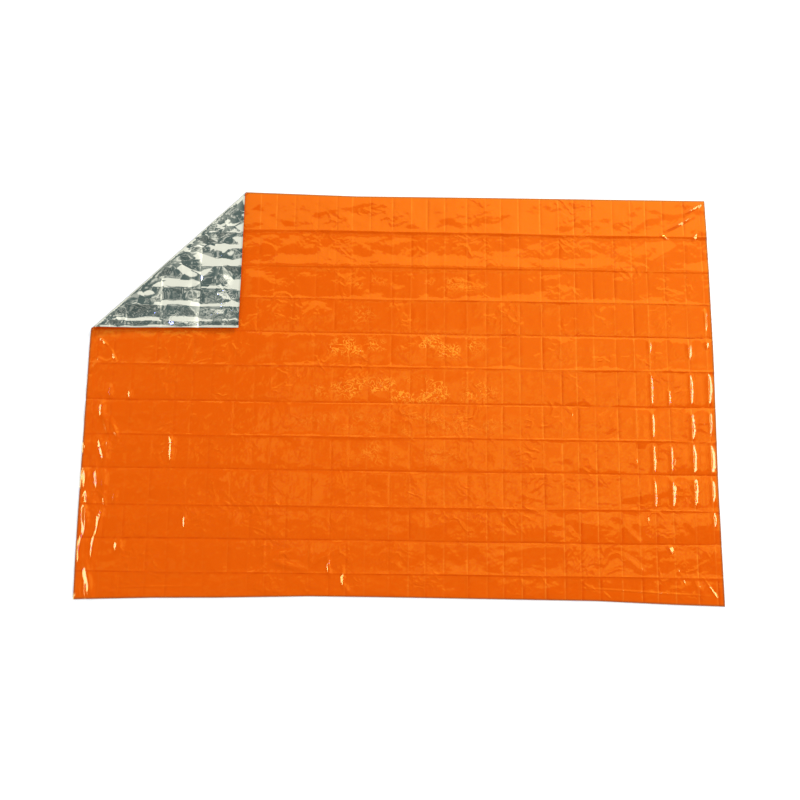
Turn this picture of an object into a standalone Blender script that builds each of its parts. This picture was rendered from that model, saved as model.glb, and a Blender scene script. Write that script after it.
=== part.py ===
"""Emergency foil blanket laid out flat, with its back left corner turned over.

One rectangle of metallised film. It still shows the creases of its pack: long creases along X, which
are ridges and resting troughs in turn, and short ones along Y, which fold the other way in each next
row. +X runs along the length, +Y to the back and +Z up; the origin is on the surface, at the middle.

The film is first made spread out: a mesh of its silver underside, with the creases' height in Z. Then
laid() takes each point to its place, round the roll where the corner is turned over, and Solidify
gives the thickness on the orange side.
"""

import math
from collections import namedtuple

import bmesh
import bpy
from mathutils import Vector

LENGTH = 2.134              # along X, as cut
WIDTH = 1.422               # along Y, as cut
FILM = 0.001                # thickness of the solid; the real film is far thinner

# Long creases, back to front: place in Y, and the height of the underside there (0: it rests).
LongCrease = namedtuple("LongCrease", "y rise")
LONG_CREASES = (
    LongCrease(0.572, 0.0042),
    LongCrease(0.438, 0.0),
    LongCrease(0.325, 0.0048),
    LongCrease(0.202, 0.0),
    LongCrease(0.084, 0.0040),
    LongCrease(-0.043, 0.0),
    LongCrease(-0.160, 0.0045),
    LongCrease(-0.276, 0.0),
    LongCrease(-0.396, 0.0048),
    LongCrease(-0.509, 0.0),
    LongCrease(-0.617, 0.0038),
)
CREST_FOOT = 0.024          # a ridge is this wide on each side of its crest
REST_HALF = 0.008           # half the width of the strip that lies on the surface in a trough
TROUGH_FOOT = 0.032         # the panels reach their own level this far from a trough's middle
EDGE_FOOT = 0.030           # and this far from a cut edge
PANEL_RISE = 0.0024         # a panel's own level
PANEL_WANDER = 0.0005       # how much that level comes and goes along a row
CREST_WANDER = 0.22         # share of a ridge's height that comes and goes along it
WANDER_RATE = 6.1           # radians a metre

# Short creases come in fours, one four for each turn of the pack, and each turn is a little shorter.
ShortCrease = namedtuple("ShortCrease", "share fold")
SHORT_CREASES = (
    ShortCrease(0.0, 0.3),
    ShortCrease(0.300, 1.0),
    ShortCrease(0.552, -1.0),
    ShortCrease(0.762, 1.0),
)
FIRST_TURN = -1.193         # X where the first turn starts, past the left edge
TURN = 0.273                # its length
TURN_LOSS = 0.003           # how much shorter each next one is
SHORT_RISE = 0.0015         # a short crease stands this far above or below its panels' level

# Where the creases draw the cut edges in: share of the way along, from the left or front, and how far.
DrawnIn = namedtuple("DrawnIn", "share inset")
BACK_EDGE = (DrawnIn(0.0, 0.003), DrawnIn(0.24, 0.0), DrawnIn(0.42, 0.008), DrawnIn(0.63, 0.005),
             DrawnIn(1.0, 0.002))
FRONT_EDGE = (DrawnIn(0.0, 0.0), DrawnIn(0.12, 0.008), DrawnIn(0.22, 0.011), DrawnIn(0.36, 0.019),
              DrawnIn(0.47, 0.019), DrawnIn(0.80, 0.015), DrawnIn(0.92, 0.006), DrawnIn(1.0, 0.002))
LEFT_EDGE = (DrawnIn(0.0, 0.004), DrawnIn(0.12, 0.001), DrawnIn(0.30, 0.0), DrawnIn(0.65, 0.0),
             DrawnIn(1.0, 0.008))
RIGHT_EDGE = (DrawnIn(0.0, 0.002), DrawnIn(0.28, 0.005), DrawnIn(0.60, 0.0), DrawnIn(0.80, 0.002),
              DrawnIn(1.0, 0.006))
DRAW_REACH = 0.095          # the film follows its edge this far in

# The turned corner: its roll's outermost line runs from the left edge to the back edge.
ROLL_LEFT = Vector((-1.0670, 0.1995))
ROLL_BACK = Vector((-0.5575, 0.7090))
ROLL_RADIUS_LEFT = 0.008    # the roll narrows towards the back edge
ROLL_RADIUS_BACK = 0.005
ROLL_STEPS = 6              # facets round the half turn
ROLL_FADE = 0.050           # the creases die out this close to the roll
SETTLE = 0.120              # past the roll, the flap sinks to its own level over this length
SETTLE_STEPS = 3
SAME_POINT = 0.002          # cuts that meet a crease closer than this share its point
FLAP_RISE = 0.0060          # lowest level of the flap's upper side
FLAP_RELIEF = 0.80          # share of the creases' height that the flap keeps
HIGHEST = 0.0058            # height that becomes the flap's lowest level when it is turned over
COVERED_RELIEF = 0.20       # share of the height that the film under the flap keeps
COVER_FADE = 0.045          # it is back at its full height this far from the flap

# Worked out from these: the roll's direction, the way square to it towards the corner that is turned,
# that corner's place before it is turned, and the flap's tip, which is its mirror image in the roll.
ROLL_WAY = (ROLL_BACK - ROLL_LEFT).normalized()
CORNER = Vector((-ROLL_WAY.y, ROLL_WAY.x))
MISSING = Vector((-LENGTH / 2 + LEFT_EDGE[-1].inset, WIDTH / 2 - BACK_EDGE[0].inset))
TIP = MISSING - 2.0 * (MISSING - ROLL_LEFT).dot(CORNER) * CORNER

ORANGE = (0.85, 0.11, 0.01, 1.0)


def clamp(value):
    return min(1.0, max(0.0, value))


def smooth(value):
    """Rise from 0 to 1 as the value does, level at both ends."""
    t = clamp(value)
    return t * t * (3.0 - 2.0 * t)


def between(table, at):
    """Read a two-column table at a place in its first column, along straight lines."""
    for (low, start), (high, end) in zip(table, table[1:]):
        if at <= high:
            break
    return start + (end - start) * clamp((at - low) / (high - low))


def lines_along_y():
    """(x, fold) of the cut edges and the short creases, left to right; fold is 0 at an edge."""
    lines = [(-LENGTH / 2, 0.0)]
    start, turn = FIRST_TURN, TURN
    while start < LENGTH / 2:
        lines += [(start + crease.share * turn, crease.fold) for crease in SHORT_CREASES]
        start += turn
        turn -= TURN_LOSS
    inside = [line for line in lines[1:] if abs(line[0]) < LENGTH / 2 - REST_HALF]
    return lines[:1] + inside + [(LENGTH / 2, 0.0)]


def lines_along_x():
    """(y, rise, panel, side) of the lines that shape the long creases, front to back.

    rise is a crest's height, panel the share of the panels' own level on that line, and side is the
    way in which the short creases are folded there: 1, -1, or 0 where they are pressed flat.
    """
    lines = []
    side = 1.0
    front = -WIDTH / 2
    foot = EDGE_FOOT
    lines.append((front, 0.0, 0.0, 0.0))
    for crease in reversed(LONG_CREASES):
        lines.append((front + foot, 0.0, 1.0, side))
        foot = CREST_FOOT if crease.rise else TROUGH_FOOT
        lines.append((crease.y - foot, 0.0, 1.0, side))
        if crease.rise:
            lines.append((crease.y, crease.rise, 0.0, 0.0))
        else:
            lines.append((crease.y - REST_HALF, 0.0, 0.0, 0.0))
            lines.append((crease.y + REST_HALF, 0.0, 0.0, 0.0))
        front = crease.y
        side = -side
    lines.append((front + foot, 0.0, 1.0, side))
    lines.append((WIDTH / 2 - EDGE_FOOT, 0.0, 1.0, side))
    lines.append((WIDTH / 2, 0.0, 0.0, 0.0))
    return lines


def relief(x, y, rise, panel, fold):
    """Height of the underside where a line along Y crosses one along X."""
    crest = rise * (1.0 + CREST_WANDER * math.sin(WANDER_RATE * (x + 3.0 * y)))
    level = PANEL_RISE + PANEL_WANDER * math.sin(WANDER_RATE * (2.0 * x - 5.0 * y))
    return crest + panel * level + SHORT_RISE * fold


def spread_out():
    """The silver underside with no corner turned over: flat in X and Y, its creases' height in Z."""
    sheet = bmesh.new()
    grid = [[sheet.verts.new((x, y, relief(x, y, rise, panel, side * fold)))
             for x, fold in lines_along_y()] for y, rise, panel, side in lines_along_x()]
    for front, back in zip(grid, grid[1:]):
        for a, b, c, d in zip(front, front[1:], back[1:], back):
            sheet.faces.new((a, b, c, d))
    return sheet


def roll_radius(along):
    """Radius of the roll's outside, a share of the way from the left edge to the back edge."""
    return ROLL_RADIUS_LEFT + (ROLL_RADIUS_BACK - ROLL_RADIUS_LEFT) * along


def cut_lines(sheet):
    """Add edges along the roll's facets and the settling flap, so that the film can bend there."""
    half_turn = [math.pi * step / ROLL_STEPS for step in range(ROLL_STEPS + 1)]
    settling = [SETTLE * (step + 1) / SETTLE_STEPS for step in range(SETTLE_STEPS)]
    for angle, past in [(angle, 0.0) for angle in half_turn] + [(math.pi, past) for past in settling]:
        ends = [point + CORNER * ((angle - 1.0) * roll_radius(along) + past)
                for along, point in enumerate((ROLL_LEFT, ROLL_BACK))]
        normal = (ends[1] - ends[0]).orthogonal()
        geometry = list(sheet.verts) + list(sheet.edges) + list(sheet.faces)
        bmesh.ops.bisect_plane(sheet, geom=geometry, dist=1e-6, plane_co=ends[0].to_3d(),
                               plane_no=normal.to_3d())


def drawn_in(u, v):
    """Move a point of the true rectangle in, where it lies near a cut edge."""
    along, across = u / LENGTH + 0.5, v / WIDTH + 0.5
    x = u + between(LEFT_EDGE, across) * clamp(1.0 - (LENGTH / 2 + u) / DRAW_REACH)
    x -= between(RIGHT_EDGE, across) * clamp(1.0 - (LENGTH / 2 - u) / DRAW_REACH)
    y = v + between(FRONT_EDGE, along) * clamp(1.0 - (WIDTH / 2 + v) / DRAW_REACH)
    y -= between(BACK_EDGE, along) * clamp(1.0 - (WIDTH / 2 - v) / DRAW_REACH)
    return Vector((x, y))


def laid(point):
    """Take a point of the spread sheet to its place: on the surface, round the roll or on the flap."""
    flat = drawn_in(point.x, point.y)
    along = (flat - ROLL_LEFT).dot(ROLL_WAY) / (ROLL_BACK - ROLL_LEFT).length
    past = (flat - ROLL_LEFT).dot(CORNER)
    radius = roll_radius(along)
    angle = past / radius + 1.0
    if angle <= 0.0:
        covered = smooth((TIP.x - flat.x) / COVER_FADE + 1.0) * smooth((flat.y - TIP.y) / COVER_FADE + 1.0)
        height = point.z * (1.0 - (1.0 - COVERED_RELIEF) * covered)
        return flat.to_3d() + Vector((0.0, 0.0, height * smooth(-radius * angle / ROLL_FADE)))
    if angle < math.pi:
        inward = radius * (1.0 - math.sin(angle))
        height = radius * (1.0 - math.cos(angle))
    else:
        inward = radius * (angle + 1.0 - math.pi)
        own = FLAP_RISE + FLAP_RELIEF * (HIGHEST - point.z)
        height = 2.0 * radius + (own - 2.0 * radius) * smooth(radius * (angle - math.pi) / SETTLE)
    place = flat - CORNER * (past + inward)
    return place.to_3d() + Vector((0.0, 0.0, height))


def film_material():
    """Orange lacquer over the metal layer."""
    material = bpy.data.materials.new("orange_film")
    material.use_nodes = True
    shader = material.node_tree.nodes["Principled BSDF"]
    shader.inputs["Base Color"].default_value = ORANGE
    shader.inputs["Metallic"].default_value = 0.4
    shader.inputs["Roughness"].default_value = 0.25
    return material


def build_blanket():
    """The whole blanket is this one piece of film."""
    sheet = spread_out()
    cut_lines(sheet)
    bmesh.ops.remove_doubles(sheet, verts=sheet.verts[:], dist=SAME_POINT)
    for vertex in sheet.verts:
        vertex.co = laid(vertex.co)
    bmesh.ops.triangulate(sheet, faces=sheet.faces[:], quad_method="SHORT_EDGE")
    mesh = bpy.data.meshes.new("foil_blanket")
    sheet.to_mesh(mesh)
    sheet.free()
    mesh.materials.append(film_material())
    blanket = bpy.data.objects.new("foil_blanket", mesh)
    bpy.context.scene.collection.objects.link(blanket)
    body = blanket.modifiers.new("film", "SOLIDIFY")
    body.thickness = FILM
    body.offset = 1.0
    return blanket


for item in list(bpy.data.objects):
    bpy.data.objects.remove(item)
build_blanket()
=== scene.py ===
"""Emergency foil blanket, dressed: one sheet of creased film, orange outside and silver behind.

The film is made as a fine grid of its silver underside, spread out, with a line on every crease. Its
relief is worked out in layers (long creases, short creases, panels, waves, pulls), then every point is
taken to its place on the surface, round the roll or on the turned corner. The orange side is the same
grid one film's thickness further out. Sizes are in metres; u and v are a point's place on the spread
sheet, u along +X and v along +Y.
"""

import math
from collections import namedtuple

import bmesh
import bpy
import numpy as np
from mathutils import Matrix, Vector

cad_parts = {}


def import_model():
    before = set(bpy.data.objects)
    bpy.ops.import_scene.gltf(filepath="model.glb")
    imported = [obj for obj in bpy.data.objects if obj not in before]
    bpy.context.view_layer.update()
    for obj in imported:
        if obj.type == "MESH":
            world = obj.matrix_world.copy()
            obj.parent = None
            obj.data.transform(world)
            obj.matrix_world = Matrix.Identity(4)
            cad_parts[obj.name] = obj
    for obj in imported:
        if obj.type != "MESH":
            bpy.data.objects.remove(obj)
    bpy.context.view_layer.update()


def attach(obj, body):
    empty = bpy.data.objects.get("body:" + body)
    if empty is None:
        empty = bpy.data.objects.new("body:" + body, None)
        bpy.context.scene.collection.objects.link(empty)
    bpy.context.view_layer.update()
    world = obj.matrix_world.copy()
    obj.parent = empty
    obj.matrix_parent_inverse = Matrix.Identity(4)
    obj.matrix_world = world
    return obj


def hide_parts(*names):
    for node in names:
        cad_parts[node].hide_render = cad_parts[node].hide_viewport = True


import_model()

# -------------------- the sheet and its creases
# Their places are the solid's. Their heights are lower, because the gloss shows every slope.

LENGTH = 2.134  # along X, as cut
WIDTH = 1.422   # along Y, as cut
FILM = 0.0009   # thickness of the modelled film; the real one is far thinner

# Long creases, back to front: place in Y, how far a ridge stands over its panels (0: a trough, which
# rests), and the strength of the line of painted shade beside it.
LongCrease = namedtuple("LongCrease", "y rise dark")
LONG_CREASES = [LongCrease(*row) for row in (
    (0.572, 0.0004, 0.7),
    (0.438, 0.0, 0.35),
    (0.325, 0.0005, 1.0),
    (0.202, 0.0, 1.0),
    (0.084, 0.0004, 1.0),
    (-0.043, 0.0, 1.0),
    (-0.160, 0.0005, 1.0),
    (-0.276, 0.0, 1.0),
    (-0.396, 0.0005, 1.0),
    (-0.509, 0.0, 1.2),
    (-0.617, 0.0004, 1.0),
)]
CREST_FOOT = 0.024     # a ridge is this wide on each side of its crest
TROUGH_FOOT = 0.032    # the panels reach their own level this far from a trough's middle
EDGE_FOOT = 0.030      # and this far from a cut edge
PANEL_RISE = 0.0010    # a panel's own level
PANEL_WANDER = 0.0002  # how much that level comes and goes
CREST_WANDER = 0.22    # share of a ridge's height that comes and goes along it
WANDER_RATE = 6.1      # radians a metre
PANEL_RATES = (2.0, -5.0)  # times that, in u and in v
CREST_STEP = 3.0       # shift of a ridge's swings for each metre in Y

# Short creases come in fours, one four for each turn of the pack, and each turn is a little shorter:
# share of the turn's length where one lies, and how strongly and which way it folds.
ShortCrease = namedtuple("ShortCrease", "share fold")
SHORT_CREASES = (
    ShortCrease(0.0, 0.3),
    ShortCrease(0.300, 1.0),
    ShortCrease(0.552, -1.0),
    ShortCrease(0.762, 1.0),
)
FIRST_TURN = -1.193  # X where the first turn starts, past the left edge
TURN = 0.273         # its length
TURN_LOSS = 0.003    # how much shorter each next one is
SHORT_RISE = 0.0010  # a short crease stands this far above or below its panels' level
SHORT_END = 0.008    # none lies nearer to the left or right edge

# Where the creases draw the cut edges in: share of the way along, from the left or front, and how far.
DrawnIn = namedtuple("DrawnIn", "share inset")
BACK_EDGE = (DrawnIn(0.0, 0.003), DrawnIn(0.24, 0.0), DrawnIn(0.42, 0.008), DrawnIn(0.63, 0.005),
             DrawnIn(1.0, 0.002))
FRONT_EDGE = (DrawnIn(0.0, 0.0), DrawnIn(0.12, 0.008), DrawnIn(0.22, 0.011), DrawnIn(0.36, 0.019),
              DrawnIn(0.47, 0.019), DrawnIn(0.80, 0.015), DrawnIn(0.92, 0.006), DrawnIn(1.0, 0.002))
LEFT_EDGE = (DrawnIn(0.0, 0.004), DrawnIn(0.12, 0.001), DrawnIn(0.30, 0.0), DrawnIn(0.65, 0.0),
             DrawnIn(1.0, 0.008))
RIGHT_EDGE = (DrawnIn(0.0, 0.002), DrawnIn(0.28, 0.005), DrawnIn(0.60, 0.0), DrawnIn(0.80, 0.002),
              DrawnIn(1.0, 0.006))
DRAW_REACH = 0.095  # the film follows its edge this far in

# The turned corner: its roll's outermost line runs from the left edge to the back edge.
ROLL_LEFT = np.array((-1.0670, 0.1995))
ROLL_BACK = np.array((-0.5575, 0.7090))
ROLL_RADIUS_LEFT = 0.008  # the roll narrows towards the back edge
ROLL_RADIUS_BACK = 0.005
ROLL_STEPS = 12        # facets round the half turn
ROLL_FADE = 0.050      # the creases die out this close to the roll
SETTLE = 0.120         # past the roll, the flap sinks to its own level over this length
FLAP_LEVEL = 0.0114    # height of the flap's flat parts
FLAP_FLOOR = 0.0050    # the flap comes no lower than this
COVERED_RELIEF = 0.20  # share of the relief that is left under the flap
COVER_FADE = 0.045     # over this length, from the flap's edges in

# Its length and way, the way to the turned corner, where that corner would be and where it lies.
ROLL_LENGTH = float(np.linalg.norm(ROLL_BACK - ROLL_LEFT))
ROLL_WAY = (ROLL_BACK - ROLL_LEFT) / ROLL_LENGTH
CORNER = np.array((-ROLL_WAY[1], ROLL_WAY[0]))
MISSING = np.array((-LENGTH / 2 + LEFT_EDGE[-1].inset, WIDTH / 2 - BACK_EDGE[0].inset))
TIP = MISSING - 2.0 * float((MISSING - ROLL_LEFT) @ CORNER) * CORNER

# -------------------- sizes of the finer form

LINE_STEP = 0.0078   # widest spacing of the grid's lines
LEAST_STEP = 0.0012  # marks closer than this share a line
LEAST_EDGE = 0.0008  # points closer than this are one
CREASE_LINES = (0.0, 0.0025, 0.0065)  # lines this far each side of a crease
LONG_KINK = 0.00055  # the sharp fold of a long crease stands out of its panels by this much
LONG_KINK_HALF = 0.0060
SHORT_KINK = 0.00050  # the same for a short crease
SHORT_KINK_HALF = 0.0065
SHORT_ZIGZAG = 0.35      # share of SHORT_RISE that bends the whole panel
SHORT_STRENGTH = (0.65, 1.05)  # least and most share of its height in any row
SHORT_FADE = 0.026       # it dies out this close to a long crease
CREASE_SWAY = 0.0016     # a long crease leaves its straight line by this much
SWAY_RATES = (3.1, 7.7)  # radians a metre
SWAY_STEP = 2.3          # radians from one crease to the next

# How creases grow from the left: least share, where in u they start to grow, over what length, and
# full share.
Growth = namedtuple("Growth", "least start length full")
LONG_GROWTH = Growth(0.40, -1.0, 0.9, 1.0)
SHORT_GROWTH = Growth(0.35, -0.6, 0.9, 1.0)
# The pale crease lines, partly rubbed lacquer and partly a painted highlight, grow this way.
WEAR_AND_HIGHLIGHT_GROWTH = Growth(0.0, -0.5, 1.1, 1.2)

WEAR_AND_HIGHLIGHT_HALF = 0.0032  # the lacquer is rubbed pale this far each side of a crease, and a highlight is painted there
LONG_WEAR_AND_HIGHLIGHT = 0.38
SHORT_WEAR_AND_HIGHLIGHT = (0.4, 1.3)  # least and most
LEAST_WEAR_AND_HIGHLIGHT = 0.2         # share of it at the left, and in the back row
BACK_ROW_WEAR_AND_HIGHLIGHT = 1.0
PAINTED_SHADE_HALF = 0.0040    # a line of painted shade runs beside each crease
CREST_PAINTED_SHADE = -0.0030  # its place beside a crest, beside a trough and beside a short crease
TROUGH_PAINTED_SHADE = 0.0012
SHORT_PAINTED_SHADE_PLACE = 0.0042
SHORT_PAINTED_SHADE = (-0.2, 1.6)  # least and most strength; under 0 there is no dark line
LEAST_PAINTED_SHADE = 0.5          # share of it at the left
FIRST_PAINTED_SHADE = (-0.0060, 0.0085)  # place and half width at the crease nearest the back edge
RIM = 0.0080              # painted shade: the film is darker this far in from its cut edges

# Swells beside long creases: the crease, counted from 0 at the back, how far from it the swell's back
# foot, top and front foot lie, positive to the back, and its height.
Swell = namedtuple("Swell", "crease back top front rise")
SWELLS = (
    Swell(0, 0.139, 0.0, -0.011, 0.0015),
    Swell(1, 0.044, 0.006, -0.011, 0.0020),
    Swell(6, 0.100, 0.060, 0.020, 0.0004),
    Swell(8, 0.085, 0.034, 0.0, 0.0003),
    Swell(9, 0.110, 0.070, 0.020, 0.0004),
)
SWELL_UNEVEN = 0.3        # share of its height that comes and goes along it
SWELL_RATES = (9.0, 4.3)  # radians a metre

# Short creases that stand up sharply in one row: the row, counted from 0 at the back, their place, the
# shares of the row's depth between which they do, their half width and height.
Sprung = namedtuple("Sprung", "row place start stop half rise")
SPRUNG = [Sprung(*row) for row in (
    # right
    (3, 1.044, 0.15, 0.75, 0.009, 0.0013),
    (4, 0.847, 0.0, 0.45, 0.013, 0.0018),
    (4, 0.982, 0.04, 0.60, 0.016, 0.0022),
    (4, 1.044, 0.0, 0.30, 0.016, 0.0022),
    (5, 0.847, 0.0, 1.0, 0.012, 0.0017),
    (5, 0.907, 0.50, 1.0, 0.011, 0.0015),
    (5, 0.982, 0.03, 0.92, 0.014, 0.0020),
    (5, 1.044, 0.0, 0.90, 0.018, 0.0025),
    (6, 0.847, 0.08, 0.98, 0.014, 0.0020),
    (6, 0.982, 0.05, 0.97, 0.018, 0.0025),
    (6, 1.044, 0.05, 0.70, 0.012, 0.0017),
    (7, 0.847, 0.06, 0.96, 0.014, 0.0020),
    (7, 0.907, 0.10, 1.0, 0.013, 0.0018),
    (7, 0.982, 0.0, 0.96, 0.018, 0.0025),
    (7, 1.044, 0.0, 0.97, 0.018, 0.0025),
    (8, 0.847, 0.10, 0.95, 0.012, 0.0017),
    (8, 0.907, 0.05, 0.92, 0.018, 0.0025),
    (8, 0.982, 0.02, 0.87, 0.018, 0.0025),
    (8, 1.044, 0.10, 0.72, 0.014, 0.0020),
    (9, 1.044, 0.02, 0.45, 0.013, 0.0018),
    # left
    (5, -0.985, 0.60, 0.98, 0.012, 0.0019),
    (5, -0.920, 0.70, 1.0, 0.011, 0.0018),
    (7, -0.985, 0.15, 0.80, 0.013, 0.0020),
    (7, -0.771, 0.05, 0.85, 0.013, 0.0024),
    (8, -0.985, 0.05, 0.60, 0.014, 0.0022),
    (8, -1.042, 0.0, 0.40, 0.012, 0.0018),
    (9, -1.042, 0.05, 0.50, 0.013, 0.0020),
    (10, -0.920, 0.05, 0.42, 0.013, 0.0021),
    (9, -0.714, 0.30, 0.70, 0.012, 0.0023),
)]
SPRUNG_SHARPNESS = 1.15
SPRUNG_END = 0.35   # how bluntly it ends
SPRUNG_CALM = 0.75  # at the right the soft fine relief is less by this share on it
CALM_REACH = 1.8    # as far as this many of its half widths

PUFF = 0.0003             # highest swell of a panel between its creases
PUFF_SHARE = (-0.5, 1.0)  # least and most share of it
TILT = 0.0004             # most that a panel's swell leans to one side

# Soft waves of the film: their length, how much longer they run along X, and their usual height.
Waves = namedtuple("Waves", "length stretch height")
FOOT_WAVES = Waves(0.070, 1.0, 0.45)  # a crest's foot widens and narrows by this share
FOOT_LIMIT = 0.7    # and never by more than this
FOOT_STRETCH = 0.2  # its waves are this much slower across the crease
SHEET_WAVES = (Waves(0.090, 2.2, 0.00032), Waves(0.040, 1.5, 0.00014))
WAVES_LEVEL = 0.002   # they are full where the film stands this high
LENGTHS = (0.7, 1.5)  # least and most length of a wave, as a share of the usual one
FLAP_WAVES = Waves(0.130, 1.0, 0.0009)
WAVES_IN_A_LAYER = 14
FLAP_FOLDS = Waves(0.080, 1.0, 0.0006)  # sharp folds of the flap, across each other
FOLDS_IN_A_LAYER = 6
FOLD_BEND = Waves(0.200, 1.0, 0.16)  # they bend by this share of their spacing
FLAP_SHORT = 1.5     # the flap's short creases are this much deeper
FLAP_DISH = (0.0003, 0.0020)  # least and most depth of the dish in each panel of the flap
FLAP_DISH_PLACE = (0.10, 0.42)  # where the dish is deepest, as a share of the panel
FLAP_SETTLE = 0.030  # past the roll, the flap's relief grows over this length
# Low ridges on the flap along the back half of the roll: distance from it, half width and height.
Streak = namedtuple("Streak", "place half rise")
STREAKS = (Streak(0.0, 0.020, 0.0012), Streak(0.036, 0.004, 0.0004))
STREAK_START = 0.66         # as a share of the roll's length
STREAK_GROWTH = 0.08        # and the share over which they grow
STREAK_CALM = (0.8, 0.060)  # beside them the flap's relief is less by this share, out to this distance

# Pulled folds, from one end to the other, with their half width and height.
Pull = namedtuple("Pull", "u0 v0 u1 v1 half rise")
PULLS = [Pull(*row) for row in (
    # right half
    (0.845, 0.466, 0.965, 0.546, 0.012, 0.0011),
    (0.780, 0.590, 0.880, 0.650, 0.013, 0.0008),
    (0.730, -0.540, 0.812, -0.612, 0.014, 0.0014),
    (0.735, -0.436, 0.794, -0.515, 0.014, 0.0016),
    (0.800, -0.455, 0.845, -0.520, 0.012, 0.0007),
    (0.962, -0.610, 1.010, -0.700, 0.013, 0.0010),
    (0.900, -0.400, 0.950, -0.500, 0.013, 0.0010),
    (0.940, -0.415, 0.985, -0.480, 0.012, 0.0009),
    # left edge
    (-1.060, 0.049, -1.022, 0.101, 0.014, 0.0029),
    (-1.010, -0.034, -1.011, -0.110, 0.014, 0.0023),
    (-1.011, -0.076, -0.977, -0.180, 0.014, 0.0024),
    (-0.994, -0.093, -0.946, -0.183, 0.014, 0.0026),
    (-1.014, -0.160, -0.984, -0.284, 0.014, 0.0024),
    (-1.023, -0.251, -1.000, -0.370, 0.017, 0.0029),
    (-1.001, -0.251, -0.983, -0.399, 0.013, 0.0022),
    (-1.055, -0.257, -1.049, -0.349, 0.014, 0.0023),
    (-1.050, -0.345, -1.032, -0.397, 0.013, 0.0023),
    (-1.016, -0.348, -1.026, -0.414, 0.013, 0.0022),
    (-1.046, -0.396, -1.040, -0.473, 0.014, 0.0023),
    (-0.980, -0.375, -1.009, -0.547, 0.013, 0.0022),
    (-1.039, -0.446, -1.043, -0.537, 0.014, 0.0023),
    (-1.051, -0.497, -1.050, -0.596, 0.013, 0.0021),
    (-1.008, -0.497, -1.012, -0.607, 0.013, 0.0021),
    (-1.037, -0.568, -1.003, -0.722, 0.017, 0.0029),
    (-0.932, -0.500, -0.932, -0.570, 0.013, 0.0021),
    (-0.949, -0.345, -0.947, -0.410, 0.013, 0.0021),
    # front edge
    (-0.241, -0.550, -0.232, -0.640, 0.010, 0.0026),
    (-0.181, -0.660, -0.168, -0.704, 0.008, 0.0018),
    (-0.450, -0.505, -0.449, -0.600, 0.008, 0.0017),
    (-0.299, -0.505, -0.298, -0.595, 0.008, 0.0018),
    (-0.305, -0.594, -0.207, -0.536, 0.014, 0.0022),
    (-0.440, -0.578, -0.295, -0.610, 0.016, 0.0024),
    (-0.440, -0.568, -0.340, -0.542, 0.013, 0.0020),
    (-0.560, -0.660, -0.430, -0.590, 0.013, 0.0016),
)]
# Narrow ones, only in the finish.
NARROW_PULLS = [Pull(*row) for row in (
    (0.981, 0.655, 1.066, 0.707, 0.010, 0.0027),
    (0.910, 0.590, 1.030, 0.655, 0.011, 0.0031),
    (0.896, 0.583, 0.926, 0.562, 0.009, 0.0018),
    (1.010, 0.556, 1.036, 0.594, 0.010, 0.0018),
    (0.883, -0.505, 0.899, -0.540, 0.012, 0.0020),
    (0.994, -0.610, 1.054, -0.700, 0.006, 0.0008),
    (0.664, -0.672, 0.697, -0.708, 0.006, 0.0007),
    (-1.040, 0.178, -0.998, 0.138, 0.007, 0.0015),
    (-0.996, 0.140, -0.970, 0.082, 0.007, 0.0013),
    (-0.191, -0.588, -0.188, -0.690, 0.010, 0.0025),
    (0.560, -0.662, 1.050, -0.679, 0.006, 0.0007),
    (-0.960, -0.673, -0.640, -0.669, 0.006, 0.0006),
)]
PULL_SHARPNESS = 1.15

# Strips of the sheet whose pulled folds need closer lines.
FineStrip = namedtuple("FineStrip", "low high step")
FINE_STRIPS = (FineStrip(-1.064, -0.925, 0.0042), FineStrip(-0.255, -0.168, 0.0042))

# Areas of fine crackle, whose lines are also painted paler as glints: centre, half sizes and strength.
Crackle = namedtuple("Crackle", "u v half_u half_v strength")
CRACKLES = [Crackle(*row) for row in (
    (-0.170, 0.155, 0.110, 0.030, 0.9),
    (0.135, 0.160, 0.120, 0.036, 1.0),
    (0.020, 0.005, 0.270, 0.038, 1.0),
    (0.020, -0.110, 0.320, 0.040, 0.4),
    (-0.160, 0.270, 0.060, 0.030, 0.4),
    (-0.090, -0.215, 0.080, 0.035, 0.4),
    (0.130, -0.225, 0.050, 0.030, 0.35),
    (0.180, 0.385, 0.090, 0.020, 0.5),
    (-0.130, 0.385, 0.060, 0.020, 0.6),
    # the flap's tip and its front edge
    (-0.985, 0.660, 0.090, 0.040, 1.0),
    (-1.030, 0.480, 0.030, 0.200, 0.8),
)]
CRACKLE_REACH = 1.6  # it fades out this many half sizes from the centre

# The left edge is ruffled into short steep strokes, between these places in u and in front of
# RUFFLE_BACK. They fade over RUFFLE_EDGE beside the cut edge and over RUFFLE_FADE at the back.
RUFFLE = (-1.060, -0.970)
RUFFLE_EDGE = 0.006
RUFFLE_BACK = 0.15
RUFFLE_FADE = 0.1

FILM_TRIANGLES = 190000  # about as many as are left when the hidden side is thinned
SHARP = 60.0             # degrees between faces that are shaded apart

RANDOM = np.random.default_rng(84)


def clamp(value):
    return np.clip(value, 0.0, 1.0)


def smooth(value):
    """Rise from 0 to 1 as the value does, level at both ends."""
    t = clamp(value)
    return t * t * (3.0 - 2.0 * t)


def grown(u, growth):
    """How strong the creases are at a place in u."""
    return growth.least + (growth.full - growth.least) * smooth((u - growth.start) / growth.length)


def between(table, at):
    """Read a two-column table at places in its first column, along straight lines."""
    return np.interp(at, [row[0] for row in table], [row[1] for row in table])


# -------------------- the grid

def short_creases():
    """(x, fold) of the short creases, left to right."""
    found = []
    start, turn = FIRST_TURN, TURN
    while start < LENGTH / 2:
        found += [(start + crease.share * turn, crease.fold) for crease in SHORT_CREASES]
        start += turn
        turn -= TURN_LOSS
    return [(x, fold) for x, fold in found if abs(x) < LENGTH / 2 - SHORT_END]


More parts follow.
